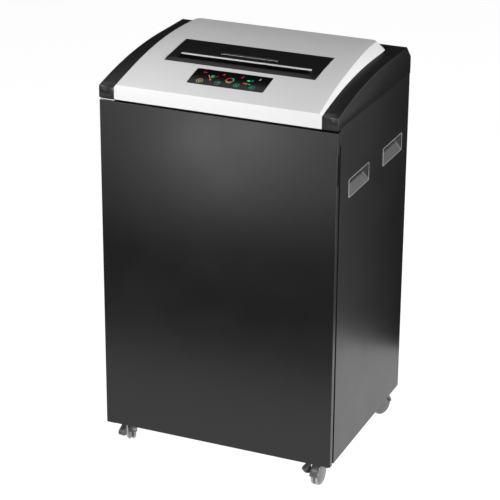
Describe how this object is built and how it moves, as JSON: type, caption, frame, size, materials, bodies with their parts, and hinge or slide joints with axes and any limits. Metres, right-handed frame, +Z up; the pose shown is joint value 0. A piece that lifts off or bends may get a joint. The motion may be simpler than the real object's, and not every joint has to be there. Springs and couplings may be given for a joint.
{
  "type": "paper shredder",
  "caption": "Floor-standing office paper shredder: steel cabinet with a door, pull-out bin and castors, and a crowned top with paper and disc slots.",
  "frame": {"origin": "on the floor under the middle of the cabinet", "axes": "+Z up, -Y towards the front (the door), +X to the right seen from the front"},
  "size_m": [0.542, 0.444, 0.9152],
  "materials": {
    "black_powder_coat": "fine textured powder coat",
    "dark_liner": "satin paint",
    "silver_moulding": "satin silver",
    "black_moulding": "satin black",
    "throat_plastic": "fine textured",
    "pale_trim": "satin",
    "control_glass": "glossy",
    "circuit_board": "solder mask",
    "handle_plastic": "fine textured",
    "zinc_steel": "zinc plated",
    "hard_steel": "ground",
    "bearing_bronze": "machined",
    "motor_grey": "satin",
    "capacitor_can": "drawn",
    "black_nylon": "moulded",
    "white_nylon": "moulded",
    "brown_plastic": "moulded",
    "screw_steel": "bright",
    "bin_plastic": "moulded",
    "castor_plastic": "moulded",
    "grey_tread": "moulded"
  },
  "bodies": {
    "cabinet": {"base_tray": "zinc_steel", "left_side_panel": "black_powder_coat", "right_side_panel": "black_powder_coat", "rear_panel": "black_powder_coat", "front_header": "black_powder_coat", "mechanism_deck": "zinc_steel", "left_handle_cups": "handle_plastic", "right_handle_cups": "handle_plastic", "top_panel": "silver_moulding", "left_end_cap": "black_moulding", "right_end_cap": "black_moulding", "rear_cap": "black_moulding", "feed_throat": "throat_plastic", "slot_trims": "pale_trim", "control_window": "control_glass", "control_board": "circuit_board", "paper_chute": "zinc_steel", "paper_sensor": "black_nylon", "cutter_side_plates": "zinc_steel", "cutter_tie_rods": "hard_steel", "stripper_combs": "black_nylon", "shaft_bearings": "bearing_bronze", "motor_housing": "motor_grey", "motor_bracket": "zinc_steel", "run_capacitor": "capacitor_can", "power_board": "circuit_board", "mains_inlet": "black_nylon", "hinge_brackets": "zinc_steel", "hinge_pins": "hard_steel", "door_switch": "white_nylon", "magnet_catch": "brown_plastic", "bin_runners": "zinc_steel", "castor_sockets": "zinc_steel", "panel_screws": "screw_steel"},
    "door": {"door_skin": "black_powder_coat", "door_liner": "dark_liner", "door_grip": "black_moulding", "hinge_bushes": "white_nylon", "catch_plate": "zinc_steel"},
    "bin": {"waste_bin": "bin_plastic", "bin_pull": "bin_plastic"},
    "power_key": {"power_rocker": "black_nylon"},
    "front_cutter_shaft": {"front_cutter": "hard_steel", "front_sync_gear": "hard_steel"},
    "rear_cutter_shaft": {"rear_cutter": "hard_steel", "rear_sync_gear": "hard_steel", "drive_gear": "hard_steel"},
    "idler": {"intermediate_gear": "hard_steel"},
    "rotor": {"motor_rotor": "hard_steel"},
    "castor_fl": {"castor_housing_fl": "castor_plastic"},
    "wheels_fl": {"wheel_set_fl": "grey_tread"},
    "castor_fr": {"castor_housing_fr": "castor_plastic"},
    "wheels_fr": {"wheel_set_fr": "grey_tread"},
    "castor_rl": {"castor_housing_rl": "castor_plastic"},
    "wheels_rl": {"wheel_set_rl": "grey_tread"},
    "castor_rr": {"castor_housing_rr": "castor_plastic"},
    "wheels_rr": {"wheel_set_rr": "grey_tread"},
    "lever_fl": {"brake_lever_fl": "castor_plastic"},
    "lever_fr": {"brake_lever_fr": "castor_plastic"}
  },
  "joints": [
    {"name": "door_hinge", "type": "hinge", "parent": "cabinet", "child": "door", "pos_m": [-0.2655, -0.214, 0.445], "axis": [0, 0, -1], "range_deg": [0, 165]},
    {"name": "bin_slide", "type": "slide", "parent": "cabinet", "child": "bin", "axis": [0, -1, 0], "range_m": [0, 0.25]},
    {"name": "power_key_tilt", "type": "hinge", "parent": "cabinet", "child": "power_key", "pos_m": [-0.157, 0.215, 0.7], "axis": [1, 0, 0], "range_deg": [0, 14]},
    {"name": "rear_cutter_spin", "type": "hinge", "parent": "cabinet", "child": "rear_cutter_shaft", "pos_m": [0, -0.045, 0.735], "axis": [1, 0, 0], "continuous": true},
    {"name": "front_cutter_spin", "type": "hinge", "parent": "cabinet", "child": "front_cutter_shaft", "pos_m": [0, -0.099, 0.735], "axis": [1, 0, 0], "continuous": true},
    {"name": "idler_spin", "type": "hinge", "parent": "cabinet", "child": "idler", "pos_m": [0.185, 0.0271, 0.71433], "axis": [1, 0, 0], "continuous": true},
    {"name": "rotor_spin", "type": "hinge", "parent": "cabinet", "child": "rotor", "pos_m": [0.09, 0.07359, 0.71433], "axis": [1, 0, 0], "continuous": true},
    {"name": "castor_swivel_fl", "type": "hinge", "parent": "cabinet", "child": "castor_fl", "pos_m": [-0.232, -0.173, 0.08], "axis": [0, 0, 1], "continuous": true},
    {"name": "wheel_spin_fl", "type": "hinge", "parent": "castor_fl", "child": "wheels_fl", "pos_m": [-0.24124, -0.16118, 0.025], "axis": [-0.788, -0.6157, 0], "continuous": true},
    {"name": "castor_swivel_fr", "type": "hinge", "parent": "cabinet", "child": "castor_fr", "pos_m": [0.232, -0.173, 0.08], "axis": [0, 0, 1], "continuous": true},
    {"name": "wheel_spin_fr", "type": "hinge", "parent": "castor_fr", "child": "wheels_fr", "pos_m": [0.23122, -0.18798, 0.025], "axis": [0.9986, -0.0523, 0], "continuous": true},
    {"name": "castor_swivel_rl", "type": "hinge", "parent": "cabinet", "child": "castor_rl", "pos_m": [-0.232, 0.173, 0.08], "axis": [0, 0, 1], "continuous": true},
    {"name": "wheel_spin_rl", "type": "hinge", "parent": "castor_rl", "child": "wheels_rl", "pos_m": [-0.22939, 0.18777, 0.025], "axis": [-0.9848, 0.1736, 0], "continuous": true},
    {"name": "castor_swivel_rr", "type": "hinge", "parent": "cabinet", "child": "castor_rr", "pos_m": [0.232, 0.173, 0.08], "axis": [0, 0, 1], "continuous": true},
    {"name": "wheel_spin_rr", "type": "hinge", "parent": "castor_rr", "child": "wheels_rr", "pos_m": [0.2395, 0.18599, 0.025], "axis": [-0.866, 0.5, 0], "continuous": true},
    {"name": "brake_lever_fl", "type": "hinge", "parent": "castor_fl", "child": "lever_fl", "pos_m": [-0.2341, -0.18704, 0.0558], "axis": [0.989, -0.1478, 0], "range_deg": [0, 8]},
    {"name": "brake_lever_fr", "type": "hinge", "parent": "castor_fr", "child": "lever_fr", "pos_m": [0.22232, -0.18338, 0.0558], "axis": [0.7314, -0.682, 0], "range_deg": [0, 8]}
  ],
  "couplings": [
    {"joint": "bin_slide", "follows": "door_hinge", "m_per_rad": 0.0868},
    {"joint": "front_cutter_spin", "follows": "rear_cutter_spin", "ratio": -1},
    {"joint": "idler_spin", "follows": "rear_cutter_spin", "ratio": -4},
    {"joint": "rotor_spin", "follows": "rear_cutter_spin", "ratio": 16.667}
  ]
}
